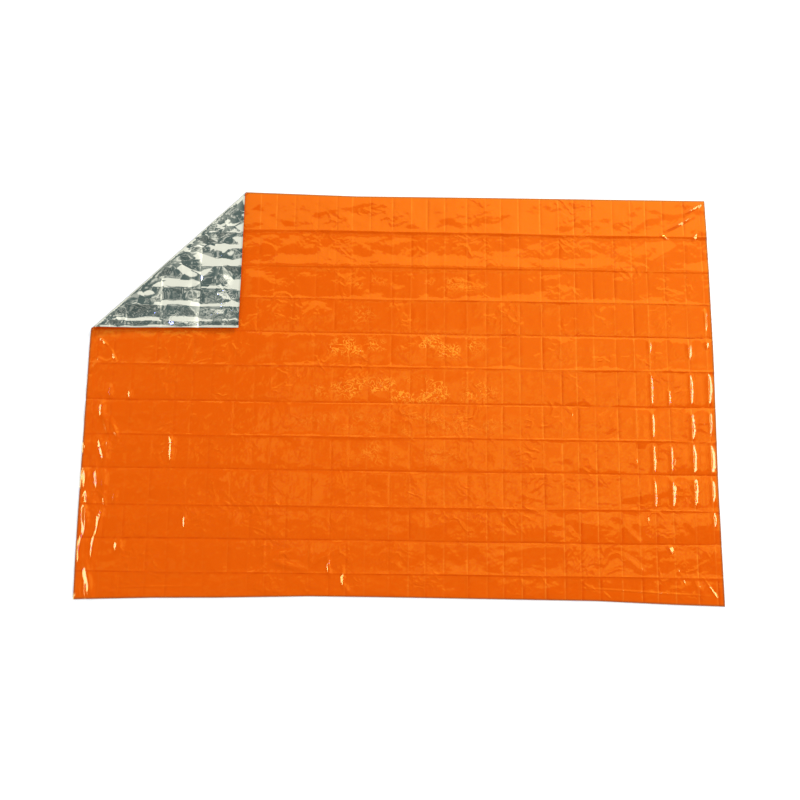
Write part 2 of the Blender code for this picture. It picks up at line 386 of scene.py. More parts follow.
def grid_lines(low, high, creases, fine=()):
    """Places of the grid's lines: the ends, lines close to each crease, and even ones between them."""
    marks = {low, low + RIM, high - RIM, high}
    for strip in fine:
        marks |= {strip.low, strip.high}
    for crease in creases:
        for offset in CREASE_LINES:
            marks |= {crease - offset, crease + offset}
    marks = sorted(mark for mark in marks if low <= mark <= high)
    lines = [low]
    for mark in marks[1:]:
        gap = mark - lines[-1]
        if gap < LEAST_STEP:
            continue
        start = lines[-1]
        widest = min([strip.step for strip in fine if strip.low < start < strip.high] + [LINE_STEP])
        count = max(1, math.ceil(gap / widest))
        lines += [start + gap * (step + 1) / count for step in range(count)]
    return lines


def roll_radius(along):
    return ROLL_RADIUS_LEFT + (ROLL_RADIUS_BACK - ROLL_RADIUS_LEFT) * along


def spread_grid():
    """The flat grid, cut along lines beside the roll so that the film can bend round it."""
    sheet = bmesh.new()
    across = grid_lines(-LENGTH / 2, LENGTH / 2, [x for x, fold in short_creases()], FINE_STRIPS)
    back = grid_lines(-WIDTH / 2, WIDTH / 2, [crease.y for crease in LONG_CREASES])
    grid = [[sheet.verts.new((x, y, 0.0)) for x in across] for y in back]
    for front, behind in zip(grid, grid[1:]):
        for a, b, c, d in zip(front, front[1:], behind[1:], behind):
            sheet.faces.new((a, b, c, d))
    for step in range(ROLL_STEPS + 1):
        angle = math.pi * step / ROLL_STEPS
        ends = [point + CORNER * (angle - 1.0) * roll_radius(along)
                for along, point in enumerate((ROLL_LEFT, ROLL_BACK))]
        way = ends[1] - ends[0]
        everything = sheet.verts[:] + sheet.edges[:] + sheet.faces[:]
        bmesh.ops.bisect_plane(sheet, geom=everything, dist=1e-6, plane_co=(*ends[0], 0.0),
                               plane_no=(-way[1], way[0], 0.0))
    bmesh.ops.remove_doubles(sheet, verts=sheet.verts[:], dist=LEAST_EDGE)
    return sheet


# -------------------- the relief

def long_line(number, u):
    """Where a long crease runs: it sways a little off its straight line."""
    sway = np.sin(SWAY_RATES[0] * u + SWAY_STEP * number) * np.sin(SWAY_RATES[1] * u + number)
    return LONG_CREASES[number].y + CREASE_SWAY * sway


def long_relief(u, v):
    """Height of the long creases, and each point's row, its share of the way across it and its depth."""
    level = PANEL_RISE + PANEL_WANDER * np.sin(WANDER_RATE * (PANEL_RATES[0] * u + PANEL_RATES[1] * v))
    full = grown(u, LONG_GROWTH)
    height = level * (1.0 - (1.0 - clamp((WIDTH / 2 - np.abs(v)) / EDGE_FOOT)) ** 2)
    lines = [np.full(u.shape, WIDTH / 2)]
    for number, crease in enumerate(LONG_CREASES):
        line = long_line(number, u)
        off = np.abs(v - line)
        kink = (1.0 - clamp(off / LONG_KINK_HALF)) ** 2
        if crease.rise:
            crest = crease.rise * (1.0 + CREST_WANDER * np.sin(WANDER_RATE * (u + CREST_STEP * crease.y)))
            wider = np.clip(waves(u, FOOT_STRETCH * v, FOOT_WAVES), -FOOT_LIMIT, FOOT_LIMIT)
            foot = CREST_FOOT * (1.0 + wider)
            height = height + full * (crest * (1.0 - clamp(off / foot)) ** 2 + LONG_KINK * kink)
        else:
            near = (1.0 - clamp(off / TROUGH_FOOT)) ** 2
            height = height * (1.0 - near) + full * LONG_KINK * (near - kink)
        lines.append(line)
    lines.append(np.full(u.shape, -WIDTH / 2))
    lines = np.array(lines)
    row = np.zeros(u.shape, int)
    for line in lines[1:-1]:
        row += v < line
    above, below = (np.take_along_axis(lines, row[None] + step, 0)[0] for step in (0, 1))
    depth = above - below
    for swell in SWELLS:
        off = v - long_line(swell.crease, u)
        rising = (swell.back - off) / (swell.back - swell.top)
        falling = (off - swell.front) / (swell.top - swell.front)
        along, across = SWELL_RATES
        uneven = 1.0 + SWELL_UNEVEN * np.sin(along * u) * np.sin(across * u + swell.crease)
        height = height + swell.rise * uneven * clamp(np.minimum(rising, falling))
    return height, row, clamp((above - v) / depth), depth


def short_relief(u, row, share, depth):
    """Height that the short creases add, and each point's column and its share of the way across it."""
    creases = short_creases()
    xs = np.array([-LENGTH / 2] + [x for x, fold in creases] + [LENGTH / 2])
    bends = np.array([0.0] + [fold for x, fold in creases] + [0.0])
    column = np.clip(np.searchsorted(xs, u) - 1, 0, len(xs) - 2)
    wide = xs[column + 1] - xs[column]
    part = clamp((u - xs[column]) / wide)
    side = np.where((len(LONG_CREASES) - np.arange(len(LONG_CREASES) + 1)) % 2 == 0, 1.0, -1.0)
    fold = side[:, None] * bends * RANDOM.uniform(*SHORT_STRENGTH, (len(side), len(bends)))
    added = np.zeros(u.shape)
    for sprung in SPRUNG:
        number = int(np.argmin(np.abs(xs - sprung.place)))
        fold[sprung.row, number] = 1.0
        along = clamp((share - sprung.start) / (sprung.stop - sprung.start))
        near = (1.0 - clamp(np.abs(u - xs[number]) / sprung.half)) ** SPRUNG_SHARPNESS
        added += (row == sprung.row) * sprung.rise * near * np.sin(math.pi * along) ** SPRUNG_END
    left, right = fold[row, column], fold[row, column + 1]
    zigzag = SHORT_ZIGZAG * SHORT_RISE * (left * (1.0 - part) + right * part)
    kink = SHORT_KINK * (left * (1.0 - clamp(part * wide / SHORT_KINK_HALF)) ** 2
                         + right * (1.0 - clamp((1.0 - part) * wide / SHORT_KINK_HALF)) ** 2)
    fade = smooth(np.minimum(share, 1.0 - share) * depth / SHORT_FADE)
    added += fade * grown(u, SHORT_GROWTH) * (kink + zigzag)
    return added, column, part


def panel_relief(row, share, column, part):
    """Each panel swells and tilts a little differently."""
    shape = (len(LONG_CREASES) + 1, column.max() + 1)
    puff = RANDOM.uniform(*PUFF_SHARE, shape) * PUFF
    tilt = RANDOM.uniform(-1.0, 1.0, shape) * TILT
    turn = RANDOM.uniform(-1.0, 1.0, shape) * TILT
    swell = 16.0 * share * (1.0 - share) * part * (1.0 - part)  # 1 in the middle
    return swell * (puff[row, column] + tilt[row, column] * (2.0 * part - 1.0)
                    + turn[row, column] * (2.0 * share - 1.0))


def waves(u, v, layer):
    """Soft random waves, as a height."""
    total = np.zeros(u.shape)
    for _ in range(WAVES_IN_A_LAYER):
        turn, start = RANDOM.uniform(0.0, 2.0 * math.pi, 2)
        length = layer.length * RANDOM.uniform(*LENGTHS)
        along, back = math.cos(turn) / (length * layer.stretch), math.sin(turn) / length
        total += np.sin(2.0 * math.pi * (along * u + back * v) + start)
    return layer.height * total / math.sqrt(WAVES_IN_A_LAYER / 2)


def folds(u, v, layer):
    """Folds in many ways across each other, which leave flat facets between them, as a height."""
    total = np.zeros(u.shape)
    for _ in range(FOLDS_IN_A_LAYER):
        turn, start = RANDOM.uniform(0.0, 2.0 * math.pi, 2)
        length = layer.length * RANDOM.uniform(*LENGTHS)
        turns = (math.cos(turn) * u + math.sin(turn) * v) / length + start + waves(u, v, FOLD_BEND)
        total += 4.0 * np.abs(turns % 1.0 - 0.5) - 1.0
    return layer.height * total / math.sqrt(FOLDS_IN_A_LAYER / 2)


def flap_dishes(row, share, column, part):
    """Each panel of the flap is a shallow dish, deepest near its front crease."""
    shape = (len(LONG_CREASES) + 1, column.max() + 1)
    ends = [RANDOM.uniform(*limits, shape)[row, column]
            for limits in (FLAP_DISH, FLAP_DISH, FLAP_DISH_PLACE, FLAP_DISH_PLACE)]
    depth = (1.0 - share) * ends[0] + share * ends[1]
    place = (1.0 - share) * ends[2] + share * ends[3]
    return -depth * np.minimum(part / place, (1.0 - part) / (1.0 - place))


def pull_relief(u, v):
    """Height of the pulled folds: each is a straight ridge, highest half way along."""
    total = np.zeros(u.shape)
    for pull in PULLS:
        run, rise = pull.u1 - pull.u0, pull.v1 - pull.v0
        along = clamp(((u - pull.u0) * run + (v - pull.v0) * rise) / (run * run + rise * rise))
        away = np.hypot(u - pull.u0 - along * run, v - pull.v0 - along * rise)
        total += 4.0 * pull.rise * along * (1.0 - along) * clamp(1.0 - away / pull.half) ** PULL_SHARPNESS
    return total


def crackle(u, v):
    """How strongly the film is crackled, from 0 to 1; it also places the painted glints."""
    strength = np.zeros(u.shape)
    for area in CRACKLES:
        away = np.hypot((u - area.u) / area.half_u, (v - area.v) / area.half_v)
        strength = np.maximum(strength, area.strength * smooth(CRACKLE_REACH - away))
    return strength


def creased(u, v):
    """Painted marks of the creases: over 0 on one, rubbed lacquer and a painted highlight; under 0 on the
    line of painted shade beside one.
    """
    rubbed_and_highlight = np.zeros(u.shape)
    dark = np.zeros(u.shape)
    row = np.zeros(u.shape, int)
    for number, crease in enumerate(LONG_CREASES):
        off = v - long_line(number, u)
        place, half = (CREST_PAINTED_SHADE if crease.rise else TROUGH_PAINTED_SHADE, PAINTED_SHADE_HALF) if number else FIRST_PAINTED_SHADE
        # Pale on the crease, rubbed lacquer and a painted highlight; beside it, painted shade.
        rubbed_and_highlight = np.maximum(rubbed_and_highlight, LONG_WEAR_AND_HIGHLIGHT * clamp(1.0 - np.abs(off) / WEAR_AND_HIGHLIGHT_HALF))
        dark = np.maximum(dark, crease.dark * clamp(1.0 - np.abs(off - place) / half))
        row += off < 0.0
    shape = (len(LONG_CREASES) + 1, len(short_creases()))
    strength, shade = RANDOM.uniform(*SHORT_WEAR_AND_HIGHLIGHT, shape), RANDOM.uniform(*SHORT_PAINTED_SHADE, shape)
    for number, (x, _) in enumerate(short_creases()):
        # The same on the short creases, stronger to the right and in the back row.
        full = np.maximum(grown(x, WEAR_AND_HIGHLIGHT_GROWTH), np.where(row == 0, BACK_ROW_WEAR_AND_HIGHLIGHT, LEAST_WEAR_AND_HIGHLIGHT))
        rubbed_and_highlight = np.maximum(rubbed_and_highlight, strength[row, number] * full * clamp(1.0 - np.abs(u - x) / WEAR_AND_HIGHLIGHT_HALF))
        beside = clamp(1.0 - np.abs(u - x - SHORT_PAINTED_SHADE_PLACE) / PAINTED_SHADE_HALF)
        dark = np.maximum(dark, shade[row, number] * np.maximum(full, LEAST_PAINTED_SHADE) * beside)
    return np.where(dark > 0.0, -dark, rubbed_and_highlight)


def calmed(u, v):
    """Share of the soft fine relief that is left: less on the right's creases that stand up sharply."""
    row = sum(v < long_line(number, u) for number in range(len(LONG_CREASES)))
    share = np.ones(u.shape)
    for sprung in [sprung for sprung in SPRUNG if sprung.place > 0.0]:
        near = (row == sprung.row) * smooth(CALM_REACH - np.abs(u - sprung.place) / sprung.half)
        share = np.minimum(share, 1.0 - SPRUNG_CALM * near)
    return share


def rimmed(u, v):
    """Share of the painted shade at the cut edges: 1 on them, 0 a little inside them."""
    return clamp(1.0 - np.minimum(LENGTH / 2 - np.abs(u), WIDTH / 2 - np.abs(v)) / RIM)


def ruffled(u, v):
    """How strongly the left edge is ruffled, from 0 to 1."""
    inward = smooth((RUFFLE[1] - u) / (RUFFLE[1] - RUFFLE[0]))
    return smooth((u + LENGTH / 2) / RUFFLE_EDGE) * inward * smooth((RUFFLE_BACK - v) / RUFFLE_FADE)


# Attributes of the mesh that the finish reads.
MARKS = {"crackle": crackle, "crease": creased, "ruffle": ruffled, "rim": rimmed, "calm": calmed}


# -------------------- its place

def drawn_in(u, v):
    """Move points of the true rectangle in, where they lie near a cut edge."""
    along, across = u / LENGTH + 0.5, v / WIDTH + 0.5
    x = u + between(LEFT_EDGE, across) * clamp(1.0 - (LENGTH / 2 + u) / DRAW_REACH)
    x -= between(RIGHT_EDGE, across) * clamp(1.0 - (LENGTH / 2 - u) / DRAW_REACH)
    y = v + between(FRONT_EDGE, along) * clamp(1.0 - (WIDTH / 2 + v) / DRAW_REACH)
    y -= between(BACK_EDGE, along) * clamp(1.0 - (WIDTH / 2 - v) / DRAW_REACH)
    return np.stack((x, y), axis=1)


def laid(flat, height, own):
    """Take points of the spread sheet to their places; own is a point's relief if it is on the flap."""
    along = (flat - ROLL_LEFT) @ ROLL_WAY / ROLL_LENGTH
    past = (flat - ROLL_LEFT) @ CORNER
    radius = roll_radius(along)
    angle = past / radius + 1.0
    covered = smooth((TIP[0] - flat[:, 0]) / COVER_FADE + 1.0)
    covered = covered * smooth((flat[:, 1] - TIP[1]) / COVER_FADE + 1.0)
    lying = height * (1.0 - (1.0 - COVERED_RELIEF) * covered) * smooth(-radius * angle / ROLL_FADE)
    beyond = radius * (angle - math.pi)
    turned = 2.0 * radius + (FLAP_LEVEL - 2.0 * radius) * smooth(beyond / SETTLE)
    streaked = smooth((along - STREAK_START) / STREAK_GROWTH)
    calm = 1.0 - STREAK_CALM[0] * streaked * clamp(1.0 - beyond / STREAK_CALM[1])
    turned = np.maximum(turned + own * calm * smooth(beyond / FLAP_SETTLE), FLAP_FLOOR)
    for streak in STREAKS:
        near = clamp(1.0 - np.abs(beyond - streak.place) / streak.half)
        turned = turned + streaked * streak.rise * near
    bend = np.clip(angle, 0.0, math.pi)
    rolled = (radius + 0.5 * streaked * STREAKS[0].rise) * (1.0 - np.cos(bend))
    inward = np.where(angle < math.pi, radius * (1.0 - np.sin(bend)), radius + beyond)
    place = np.where((angle > 0.0)[:, None], flat - CORNER * (past + inward)[:, None], flat)
    z = np.where(angle <= 0.0, lying, np.where(angle < math.pi, rolled, turned))
    return np.column_stack((place, z)), angle > math.pi / 2


def film_places(u, v):
    """Places of the silver side's points, and which of them are turned over."""
    long, row, share, depth = long_relief(u, v)
    short, column, part = short_relief(u, row, share, depth)
    height = long + short + panel_relief(row, share, column, part)
    for layer in SHEET_WAVES:
        height = height + smooth(long / WAVES_LEVEL) * waves(u, v, layer)
    height = np.maximum(height + pull_relief(u, v), 0.0)
    own = flap_dishes(row, share, column, part) - long - FLAP_SHORT * short
    own += waves(u, v, FLAP_WAVES) + folds(u, v, FLAP_FOLDS)
    return laid(drawn_in(u, v), height, own)


def film_piece(orange_film, silver_film):
    """The whole film, closed: its silver side and, one thickness further out, its orange side."""
    sheet = spread_grid()
    sheet.verts.ensure_lookup_table()
    uv = np.array([vertex.co[:2] for vertex in sheet.verts])
    places, turned = film_places(uv[:, 0], uv[:, 1])
    for vertex, place in zip(sheet.verts, places):
        vertex.co = place
    sheet.normal_update()
    normals = np.array([vertex.normal[:] for vertex in sheet.verts])
    count = len(places)
    faces = [[vertex.index for vertex in face.verts] for face in sheet.faces]
    rim = [(edge.link_loops[0].vert.index, edge.link_loops[0].link_loop_next.vert.index)
           for edge in sheet.edges if edge.is_boundary]
    sheet.free()
    mesh = bpy.data.meshes.new("foil_film")
    points = np.vstack((places, places + normals * FILM))
    silver = [face[::-1] for face in faces]
    orange = [[index + count for index in face] for face in faces]
    edge = [(a, b, b + count, a + count) for a, b in rim]
    mesh.from_pydata(points.tolist(), [], silver + orange + edge)
    mesh.materials.append(orange_film)
    mesh.materials.append(silver_film)
    slots = np.zeros(len(mesh.polygons), int)
    slots[:len(silver)] = 1
    slots[len(silver) + len(orange):] = 1
    mesh.polygons.foreach_set("material_index", slots)
    spread = np.vstack((uv, uv))
    corners = np.zeros(len(mesh.loops), int)
    mesh.loops.foreach_get("vertex_index", corners)
    layer = mesh.uv_layers.new(name="spread")
    layer.data.foreach_set("uv", spread[corners].ravel())
    mesh.shade_smooth()
    piece = bpy.data.objects.new("foil_film", mesh)
    bpy.context.scene.collection.objects.link(piece)
    hidden = piece.vertex_groups.new(name="hidden side")
    indices = np.flatnonzero(np.concatenate((~turned, turned)))
    hidden.add(indices.tolist(), 1.0, "REPLACE")
    return piece


def thin_hidden_side(piece):
    """Take out most points of the side that faces the surface or the other layer, then add the marks."""
    thin = piece.modifiers.new("thin", "DECIMATE")
    thin.ratio = FILM_TRIANGLES / (2 * len(piece.data.polygons))
    thin.vertex_group = "hidden side"
    thin.vertex_group_factor = 1000.0  # nearly all of them from that side
    graph = bpy.context.evaluated_depsgraph_get()
    mesh = bpy.data.meshes.new_from_object(piece.evaluated_get(graph))
    piece.modifiers.remove(thin)
    piece.vertex_groups.clear()
    piece.data = mesh
    mesh.name = "foil_film"
    mesh.set_sharp_from_angle(angle=math.radians(SHARP))
    spread = np.zeros(len(mesh.loops) * 2)
    mesh.uv_layers["spread"].data.foreach_get("uv", spread)
    for name, strength in MARKS.items():
        mark = mesh.attributes.new(name, "FLOAT", "CORNER")
        mark.data.foreach_set("value", strength(spread[::2], spread[1::2]).astype(np.float32))


# -------------------- finish

# Noise: cells in a metre, octaves, bend, and how narrow the lines along its middle value are (0: none).
Noise = namedtuple("Noise", "scale detail bend narrow", defaults=(0.0, 0.0))
SOFT = Noise(13.0, 3.0)
FOLDED = Noise(16.0, 2.0, 0.4, 9.0)
FOLDED_PATCH = Noise(6.0, 1.0)
CRACKLED = Noise(58.0, 1.0, 0.9, 15.0)
CRACKLED_PATCH = Noise(13.0, 1.0)
RUFFLED = Noise(30.0, 1.0, 0.6, 6.0)
# Makes the crease marks uneven: the rubbed lacquer with its painted highlight, and the painted shade.
WEAR_AND_PAINTED_LIGHT_PATCH = Noise(30.0, 4.0)
MIRRORED_PATCH = Noise(21.0, 2.0)  # in the room that the gloss mirrors

# A change from low to high as a value goes from start to stop.
Band = namedtuple("Band", "start stop low high", defaults=(0.0, 1.0))
FOLDED_EDGE = Band(0.45, 0.65)
CRACKLED_EDGE = Band(0.42, 0.54)
# The band of that unevenness of the crease marks.
WEAR_AND_PAINTED_LIGHT_EDGE = Band(0.3, 0.7, 0.3)

RUFFLE_STRETCH = (1.0, 0.30, 1.0)  # its strokes run along v
RUFFLE_HEIGHT = 0.0009
WEAR_AND_HIGHLIGHT_SHARE = 0.54   # share of the pale crease colour, rubbed lacquer and a painted highlight, on a crease
FACET_SCALE = 12.5  # facets in a metre

# Colours of a film: its own; on creases, rubbed lacquer with a painted highlight; painted shade beside
# creases; painted glints on crackle; painted shade at the cut edges.
Colours = namedtuple("Colours", "own worn dark crackled edge")
ORANGE = Colours((0.765, 0.094, 0.0012), (0.88, 0.23, 0.020), (0.65, 0.056, 0.0002),
                 (0.95, 0.30, 0.025), (0.34, 0.080, 0.016))
SILVER = Colours((0.84, 0.84, 0.83), (0.88, 0.88, 0.88), (0.80, 0.80, 0.79), (0.86, 0.86, 0.86),
                 (0.60, 0.61, 0.59))
# Its fine relief in metres; a facet's is for each cell.
Relief = namedtuple("Relief", "soft folded crackled facets")
ORANGE_RELIEF = Relief(0.0018, 0.0007, 0.0002, 0.0)
SILVER_RELIEF = Relief(0.0003, 0.0005, 0.00012, 0.0028)


def maths(tree, operation, *values, clamped=False):
    """A Math node on sockets or numbers; its result."""
    node = tree.nodes.new("ShaderNodeMath")
    node.operation = operation
    node.use_clamp = clamped
    for socket, value in zip(node.inputs, values):
        if isinstance(value, float):
            socket.default_value = value
        else:
            tree.links.new(value, socket)
    return node.outputs[0]


def ramp(tree, value, start, stop, low=0.0, high=1.0):
    """A smooth change from low to high as the value goes from start to stop."""
    node = tree.nodes.new("ShaderNodeMapRange")
    node.interpolation_type = "SMOOTHSTEP"
    for name, number in (("Value", value), ("From Min", start), ("From Max", stop), ("To Min", low),
                         ("To Max", high)):
        if isinstance(number, float):
            node.inputs[name].default_value = number
        else:
            tree.links.new(number, node.inputs[name])
    return node.outputs[0]


def vectors(tree, operation, *values):
    """A Vector Math node on sockets or plain vectors; its result."""
    node = tree.nodes.new("ShaderNodeVectorMath")
    node.operation = operation
    for socket, value in zip(node.inputs, values):
        if isinstance(value, tuple):
            socket.default_value = value
        else:
            tree.links.new(value, socket)
    return node.outputs["Value" if operation in ("DOT_PRODUCT", "LENGTH") else "Vector"]


def together(tree, operation, first, *others):
    """One Math operation on several sockets in turn; its result."""
    for other in others:
        first = maths(tree, operation, first, other)
    return first


def noise(tree, kind, place):
    """Noise of one kind over a place, or the narrow lines that follow its middle value."""
    node = tree.nodes.new("ShaderNodeTexNoise")
    node.inputs["Scale"].default_value = kind.scale
    node.inputs["Detail"].default_value = kind.detail
    node.inputs["Roughness"].default_value = 0.5
    node.inputs["Distortion"].default_value = kind.bend
    tree.links.new(place, node.inputs["Vector"])
    if not kind.narrow:
        return node.outputs[0]
    off = maths(tree, "ABSOLUTE", maths(tree, "SUBTRACT", node.outputs[0], 0.5))
    return maths(tree, "SUBTRACT", 1.0, maths(tree, "MULTIPLY", off, kind.narrow), clamped=True)


def mixed(tree, share, first, second):
    """Two colours, sockets or plain, mixed by a share; the result."""
    node = tree.nodes.new("ShaderNodeMix")
    node.data_type = "RGBA"
    tree.links.new(share, node.inputs["Factor"])
    for name, value in (("A", first), ("B", second)):
        if isinstance(value, tuple):
            node.inputs[name].default_value = (*value, 1.0)
        else:
            tree.links.new(value, node.inputs[name])
    return node.outputs["Result"]


def scaled(tree, vector, share):
    """A plain vector times a share; the result."""
    node = tree.nodes.new("ShaderNodeVectorMath")
    node.operation = "SCALE"
    node.inputs[0].default_value = vector
    tree.links.new(share, node.inputs["Scale"])
    return node.outputs["Vector"]


def new_group(name, taken, given):
    """A shader group with named sockets; the group, its taken sockets and its given ones."""
    group = bpy.data.node_groups.new(name, "ShaderNodeTree")
    for way, sockets in (("INPUT", taken), ("OUTPUT", given)):
        for socket, kind in sockets.items():
            group.interface.new_socket(socket, in_out=way, socket_type="NodeSocket" + kind)
    start = group.nodes.new("NodeGroupInput")
    end = group.nodes.new("NodeGroupOutput")
    return group, start.outputs, end.inputs


def wrinkle_group():
    """Fine relief of thin film in metres: soft waves, folded lines in patches, crackle and ruffles."""
    numbers = dict.fromkeys(("Soft", "Folded", "Crackle", "Crackled", "Ruffle"), "Float")
    group, taken, given = new_group("film wrinkles", {"Vector": "Vector", **numbers},
                                    {"Height": "Float", "Lines": "Float"})
    place = taken["Vector"]
    soft = maths(group, "MULTIPLY", noise(group, SOFT, place), taken["Soft"])
    line = noise(group, FOLDED, place)
    line = maths(group, "MULTIPLY", line, ramp(group, noise(group, FOLDED_PATCH, place), *FOLDED_EDGE))
    folded = maths(group, "MULTIPLY", line, taken["Folded"])
    patch = ramp(group, noise(group, CRACKLED_PATCH, place), *CRACKLED_EDGE)
    lines = together(group, "MULTIPLY", noise(group, CRACKLED, place), taken["Crackle"], patch)
    crackled = maths(group, "MULTIPLY", lines, taken["Crackled"])
    long_way = vectors(group, "MULTIPLY", place, RUFFLE_STRETCH)
    ruffle = together(group, "MULTIPLY", noise(group, RUFFLED, long_way), patch, taken["Ruffle"])
    height = maths(group, "ADD", maths(group, "ADD", soft, folded), maths(group, "ADD", crackled, ruffle))
    group.links.new(height, given["Height"])
    # The crackle's lines also go out alone: the finish paints them as glints.
    group.links.new(lines, given["Lines"])
    return group


def pull_group():
    """The narrow pulled folds, as a height in metres, with the same profile as the others."""
    group, taken, given = new_group("pulled folds", {"Vector": "Vector"}, {"Height": "Float"})
    total = None
    for pull in NARROW_PULLS:
        run, rise = pull.u1 - pull.u0, pull.v1 - pull.v0
        square = run * run + rise * rise
        off = vectors(group, "SUBTRACT", taken["Vector"], (pull.u0, pull.v0, 0.0))
        along = vectors(group, "DOT_PRODUCT", off, (run / square, rise / square, 0.0))
        along = maths(group, "ADD", along, 0.0, clamped=True)
        nearest = scaled(group, (run, rise, 0.0), along)
        away = vectors(group, "LENGTH", vectors(group, "SUBTRACT", off, nearest))
        near = maths(group, "SUBTRACT", 1.0, maths(group, "DIVIDE", away, pull.half), clamped=True)
        near = maths(group, "POWER", near, PULL_SHARPNESS)
        lens = maths(group, "MULTIPLY", along, maths(group, "SUBTRACT", 1.0, along))
        height = together(group, "MULTIPLY", near, lens, 4.0 * pull.rise)
        total = height if total is None else maths(group, "ADD", total, height)
    group.links.new(total, given["Height"])
    return group


def wear_and_painted_light_group():
    """Colour of a film face: creases rubbed pale with a painted highlight, crackle with painted glints,
    painted shade beside creases and at cut edges.
    """
    numbers = dict.fromkeys(("Crease", "Lines", "Rim"), "Float")
    colours = dict.fromkeys(("Colour", "Worn", "Dark", "Crackled", "Edge"), "Color")
    group, taken, given = new_group("crease wear", {"Vector": "Vector", **numbers, **colours},
                                    {"Colour": "Color"})
    uneven = ramp(group, noise(group, WEAR_AND_PAINTED_LIGHT_PATCH, taken["Vector"]), *WEAR_AND_PAINTED_LIGHT_EDGE)
    share = maths(group, "MULTIPLY", taken["Crease"], uneven)
    # Over 0 a crease is paler, rubbed lacquer with a painted highlight; under 0 it takes the painted
    # shade.
    rubbed_and_highlight = maths(group, "MULTIPLY", share, WEAR_AND_HIGHLIGHT_SHARE, clamped=True)
    dark = maths(group, "MULTIPLY", share, -1.0, clamped=True)
    colour = mixed(group, rubbed_and_highlight, taken["Colour"], taken["Worn"])
    colour = mixed(group, dark, colour, taken["Dark"])
    # Painted glints on the crackle's lines.
    colour = mixed(group, taken["Lines"], colour, taken["Crackled"])
    # Painted shade at the cut edges.
    colour = mixed(group, taken["Rim"], colour, taken["Edge"])
    group.links.new(colour, given["Colour"])
    return group


def film_material(name, colours, relief, groups, **sockets):
    """A film face: its colours, with painted light and shade, and gloss over fine relief, made by the
    crease colour, wrinkle and pull groups.
    """
    material = bpy.data.materials.new(name)
    material.use_nodes = True
    tree = material.node_tree
    shader = tree.nodes["Principled BSDF"]
    for socket, value in sockets.items():
        shader.inputs[socket.replace("_", " ")].default_value = value
    spread = tree.nodes.new("ShaderNodeUVMap")
    spread.uv_map = "spread"
    place = spread.outputs["UV"]
    marks = {}
    for mark in MARKS:
        node = tree.nodes.new("ShaderNodeAttribute")
        node.attribute_name = mark
        marks[mark] = node.outputs["Fac"]
    wear_and_painted_light, fine, pulled = [tree.nodes.new("ShaderNodeGroup") for _ in groups]
    for node, group in zip((wear_and_painted_light, fine, pulled), groups):
        node.node_tree = group
        tree.links.new(place, node.inputs["Vector"])
    # Its own colour, the pale crease colour (rubbed lacquer and a painted highlight), the painted shade,
    # the painted glints and the painted shade at cut edges.
    for socket, value in zip(("Colour", "Worn", "Dark", "Crackled", "Edge"), colours):
        wear_and_painted_light.inputs[socket].default_value = (*value, 1.0)
    tree.links.new(marks["crease"], wear_and_painted_light.inputs["Crease"])
    tree.links.new(marks["rim"], wear_and_painted_light.inputs["Rim"])
    tree.links.new(fine.outputs["Lines"], wear_and_painted_light.inputs["Lines"])
    tree.links.new(wear_and_painted_light.outputs["Colour"], shader.inputs["Base Color"])
    fine.inputs["Folded"].default_value = relief.folded
    fine.inputs["Crackled"].default_value = relief.crackled
    tree.links.new(maths(tree, "MULTIPLY", marks["calm"], relief.soft), fine.inputs["Soft"])
    tree.links.new(marks["crackle"], fine.inputs["Crackle"])
    tree.links.new(maths(tree, "MULTIPLY", marks["ruffle"], RUFFLE_HEIGHT), fine.inputs["Ruffle"])
    height = maths(tree, "ADD", fine.outputs["Height"], pulled.outputs["Height"])
    if relief.facets:
        cells = tree.nodes.new("ShaderNodeTexVoronoi")
        cells.voronoi_dimensions = "2D"
        cells.feature = "DISTANCE_TO_EDGE"
        cells.inputs["Scale"].default_value = FACET_SCALE
        tree.links.new(place, cells.inputs["Vector"])
        facets = maths(tree, "MULTIPLY", cells.outputs["Distance"], relief.facets)
        height = maths(tree, "ADD", height, facets)
    bump = tree.nodes.new("ShaderNodeBump")
    bump.inputs["Distance"].default_value = 1.0
    tree.links.new(height, bump.inputs["Height"])
    tree.links.new(bump.outputs["Normal"], shader.inputs["Normal"])
    return material


# -------------------- stage, lights and camera

FLOOR_HALF = 12.0
FLOOR_LEVEL = -0.0006
FLOOR_COLOUR = (0.97, 0.97, 0.97, 1.0)

# A soft panel of light that faces the middle of the sheet: its radiance is in watts a square metre.
Window = namedtuple("Window", "place size radiance")
WINDOW = Window((4.2, 6.4, 2.9), (3.4, 1.6), 32.0)

EVEN_LIGHT = 0.95  # strength of the white light on matt surfaces
ROOM_DARK = (0.11, 0.155, 0.145)
ROOM_CREAM = (0.95, 0.96, 0.82)
STRIP = (8.0, 9.5, 38.0)   # so blue that its reflection in orange film is pale
WARM = (0.52, 0.51, 0.42)  # glow from the right

# Where a ray of the gloss finds them: by x, y or z, the parts of its direction.
BACK_WALL = Band(0.342, 0.362)  # y
RIGHT_WALL = Band(0.40, 0.46)  # x
LEFT_WALL = Band(-0.42, -0.48)  # x
WALL_FOOT = Band(0.40, 0.56, 0.1)  # z
PATCH_EDGE = Band(0.45, 0.54)  # the noise
PATCH_BACK = Band(0.30, 0.20, 0.0, 0.75)  # y
PATCH_MIDDLE = Band(0.118, 0.128, 0.1)  # y: patches are faint in front of this
PATCH_FRONT = Band(0.086, 0.070, 0.0, 0.5)  # y: and come back here
PATCH_RIGHT = Band(-0.46, -0.30, 0.12)  # x - y
PATCH_LEFT = Band(-0.46, -0.50, 0.0, 0.45)  # x - y
FRONT_DIM = Band(-0.3, 0.34, 0.4)  # y
STRIP_SIDES = (Band(0.47, 0.49), Band(0.60, 0.58))  # x to either side
STRIP_FOOT = Band(0.74, 0.78)  # z
STRIP_BACK = Band(0.33, 0.27)  # y
